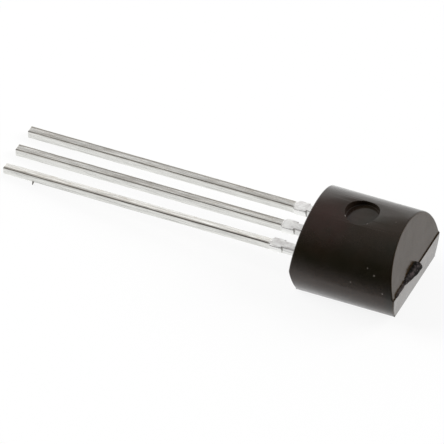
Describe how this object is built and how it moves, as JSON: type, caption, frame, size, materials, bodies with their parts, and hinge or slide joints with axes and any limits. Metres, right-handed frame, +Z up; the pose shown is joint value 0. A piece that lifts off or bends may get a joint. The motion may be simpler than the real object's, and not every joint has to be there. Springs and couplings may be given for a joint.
{
  "type": "voltage reference chip",
  "caption": "Small black moulded package with a flat front and a round back on a row of straight tinned leads, holding a voltage reference circuit for through-hole mounting.",
  "frame": {"origin": "on the surface that the package lies on, under the middle of its outline", "axes": "+X from the lead tips towards the top end of the body, +Y across the lead row from the reference lead to the cathode lead, +Z up, on the side of the round back. The package lies on its lead tips and on the seating-end edge of its flat, so its own length is tilted 5.08 degrees from X, with the tips low."},
  "size_m": [0.0196, 0.0048, 0.0041],
  "materials": {
    "moulding": "satin",
    "tinned_lead": "satin",
    "silicon": "gloss",
    "silver_glue": "matte",
    "gold_wire": "polished"
  },
  "bodies": {
    "root": {"moulded_body": "moulding", "reference_lead": "tinned_lead", "anode_lead": "tinned_lead", "cathode_lead": "tinned_lead", "die": "silicon", "die_attach": "silver_glue", "reference_wire": "gold_wire", "cathode_wire": "gold_wire", "anode_wire": "gold_wire"}
  },
  "joints": []
}
